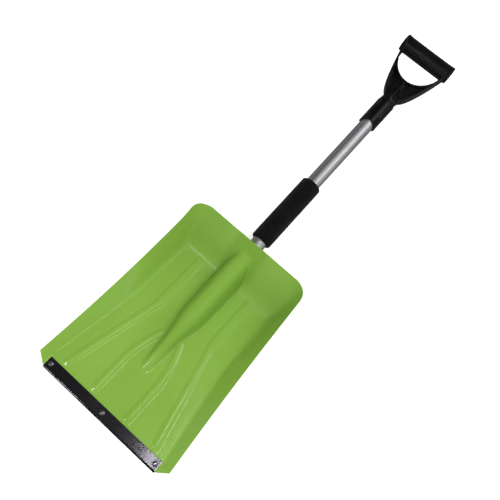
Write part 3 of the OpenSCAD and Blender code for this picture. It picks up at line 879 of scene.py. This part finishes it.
def cut_grip(body, place, across):
    """The tube's bore, the arched mouth, the hollow crossbar and the screw's hole."""
    bore_end = station(TUBE_HEAD) - COLLAR_S + 1
    cut(body, rod("grip_bore", BORE_R, -3, bore_end, place, ROUND_STEPS))
    turned = Matrix.Rotation(math.pi / 2, 4, "X")
    mouth = place @ Matrix.Translation((0, 0, SCALLOP_DEPTH - SCALLOP_R)) @ turned
    cut(body, rod("scallop", SCALLOP_R, -30, 30, mouth, ROUND_STEPS))
    for side in (-1, 1):
        low, high = sorted((side * 1.5, side * (BAR_HALF + 2)))
        cut(body, rod("bar_bore", BAR_R - BAR_WALL, low, high, place @ across, 64))
    cut(body, rod("screw_hole", SCREW_HOLE_R, 0, 30, under_shaft("grip_screw"), 32))


# ---- metal pieces that have their shape from the CAD ---------------------------------

def dress(node, material):
    """Gives a CAD node its material and smooth shading; its shape is right as it is."""
    obj = frame["nodes"][node]
    paint(obj, material)
    smooth(obj, 30)


def dress_cad_pieces():
    """The tube, the rivets with their mandrels, the screw and the button."""
    dress("shaft_tube", tube_aluminium())
    dress("strip_rivets",
          metal("rivet_aluminium", (0.16, 0.155, 0.17), (0.30, 0.29, 0.32), 0.34))
    dress("rivet_mandrels",
          metal("mandrel_steel", (0.72, 0.71, 0.73), (0.88, 0.88, 0.9), 0.25))
    dress("grip_screw",
          metal("screw_steel", (0.42, 0.42, 0.44), (0.6, 0.6, 0.62), 0.28))
    dress("snap_button",
          metal("button_steel", (0.5, 0.5, 0.52), (0.68, 0.68, 0.7), 0.2))


def build_spring(material):
    """The V spring, which closes up on the real shovel as the button is pressed; here its mesh
    is copied from the CAD node, bevelled and smoothed.
    """
    mesh = frame["nodes"]["button_spring"].data.copy()
    spring = bpy.data.objects.new("push_spring", mesh)
    bpy.context.scene.collection.objects.link(spring)
    bevel(spring, 0.1)
    smooth(spring, 40)
    finish_piece(spring, "shaft", material, "button_spring")
    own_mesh(spring)


# ---- floor, light and camera ---------------------------------------------------------

FLOOR_SIZE, FLOOR_GLOW = 6000, 0.35     # half width in mm; own light, which clears shadows
MIRRORED_FLOOR = (0.12, 0.12, 0.12)     # the floor as shiny surfaces mirror it
SOFT_ROOM = 0.75                        # the room's brightness on matt surfaces
GLOSSY_ROOM, HORIZON_ROOM = 0.03, 0.28  # what shiny surfaces mirror, overhead and low down
HORIZON_TOP = 0.7                       # sine of the height where the horizon's light ends


def build_floor():
    """A plain pale light table that the shovel lies on."""
    floor = block("studio_floor", (-FLOOR_SIZE, -FLOOR_SIZE, -40), (FLOOR_SIZE, FLOOR_SIZE, 0))
    sh = Shader("pale_floor", (0.93, 0.93, 0.93), 0.9)
    grain = sh.remap(sh.noise(3, 3), 0.3, 0.7, 0, 1)
    pale = sh.blend(grain, (0.92, 0.92, 0.92), (0.94, 0.94, 0.94))
    mirrored = sh.node("ShaderNodeLightPath").outputs["Is Glossy Ray"]
    sh.plug("Base Color", sh.blend(mirrored, pale, MIRRORED_FLOOR))
    sh.plug("Emission Strength", sh.remap(mirrored, 0, 1, FLOOR_GLOW, 0))
    sh.set(**{"Emission Color": (1, 1, 1, 1), "Specular IOR Level": 0.2})
    floor.data.materials.append(sh.material)


def soft_light(name, place, aim, size, power, mirrored=True):
    """A rectangular soft box, with power in watts; mirrored says if shiny surfaces show it."""
    light = bpy.data.lights.new(name, "AREA")
    light.shape = "RECTANGLE"
    light.size, light.size_y = size
    light.energy = power
    obj = bpy.data.objects.new(name, light)
    obj.location = place
    obj.rotation_euler = (Vector(aim) - Vector(place)).to_track_quat("-Z", "Y").to_euler()
    obj.visible_glossy = mirrored
    bpy.context.scene.collection.objects.link(obj)


def build_lights():
    """A soft fill, two small lamps over the scoop, and panels mirrored by the shaft."""
    scoop_middle, shaft_middle = (0, 0.17, 0), (0, 0.5, 0.05)
    soft_light("overhead_fill", (0.5, -0.2, 1.9), scoop_middle, (1.6, 1.6), 19.4, False)
    soft_light("narrow_lamp", (0.17, 0.2, 1.7), (0.17, 0.2, 0), (0.1, 0.4), 1.8)
    soft_light("left_lamp", (-0.48, -0.9, 1.7), (-0.07, 0.29, 0), (0.12, 0.5), 4.0)
    soft_light("shaft_panel", (0.85, 1.25, 1.6), shaft_middle, (1.4, 0.8), 8.5)
    soft_light("right_panel", (1.6, 0.5, 0.7), shaft_middle, (0.8, 1.4), 2.6)


def build_room():
    """An even white room to the eye and to matt surfaces, and a dim one in mirrors."""
    world = bpy.data.worlds.new("studio")
    world.use_nodes = True
    tree = world.node_tree
    rays = tree.nodes.new("ShaderNodeLightPath")
    strength = tree.nodes["Background"].inputs["Strength"]
    tree.nodes["Background"].inputs["Color"].default_value = (1, 1, 1, 1)
    ray = tree.nodes.new("ShaderNodeTexCoord")
    height = tree.nodes.new("ShaderNodeSeparateXYZ")
    tree.links.new(ray.outputs["Generated"], height.inputs[0])
    walls = tree.nodes.new("ShaderNodeMapRange")
    for socket, number in zip(("From Min", "From Max", "To Min", "To Max"),
                              (0.0, HORIZON_TOP, HORIZON_ROOM - SOFT_ROOM,
                               GLOSSY_ROOM - SOFT_ROOM)):
        walls.inputs[socket].default_value = number
    tree.links.new(height.outputs["Z"], walls.inputs["Value"])
    mirrored = tree.nodes.new("ShaderNodeMath")
    mirrored.operation = "MULTIPLY_ADD"
    mirrored.inputs[2].default_value = SOFT_ROOM
    tree.links.new(rays.outputs["Is Glossy Ray"], mirrored.inputs[0])
    tree.links.new(walls.outputs["Result"], mirrored.inputs[1])
    seen = tree.nodes.new("ShaderNodeMath")
    seen.operation = "ADD"
    tree.links.new(rays.outputs["Is Camera Ray"], seen.inputs[0])
    tree.links.new(mirrored.outputs[0], seen.inputs[1])
    tree.links.new(seen.outputs[0], strength)
    world.cycles.sampling_method = "NONE"    # so that every ray meets its own room brightness
    bpy.context.scene.world = world
    bpy.context.scene.view_settings.view_transform = "Standard"


def build_camera():
    """Above the scoop, right of its middle, looking back along the shaft, and rolled."""
    place, aim = Vector((0.1396, -0.0119, 1.0258)), Vector((-0.0377, 0.3772, 0))
    roll = math.radians(-44.02)
    ahead = (aim - place).normalized()
    level = (Vector((0, 1, 0)) - ahead * ahead.y).normalized()
    up = Matrix.Rotation(roll, 3, ahead) @ level
    right = ahead.cross(up)
    camera = bpy.data.cameras.new("camera")
    camera.lens, camera.sensor_width = 47.88, 36.0
    camera.shift_x, camera.shift_y = 0.009, -0.0426
    obj = bpy.data.objects.new("camera", camera)
    obj.matrix_world = Matrix.Translation(place) @ Matrix(
        (right, up, -ahead)).transposed().to_4x4()
    bpy.context.scene.collection.objects.link(obj)
    bpy.context.scene.camera = obj


build_scoop(scoop_plastic())
build_strip(strip_metal())
build_foam(foam_rubber())
build_grip(grip_plastic())
dress_cad_pieces()
build_spring(metal("spring_steel", (0.32, 0.32, 0.35), (0.5, 0.5, 0.53), 0.3))
build_floor()
build_lights()
build_room()
build_camera()
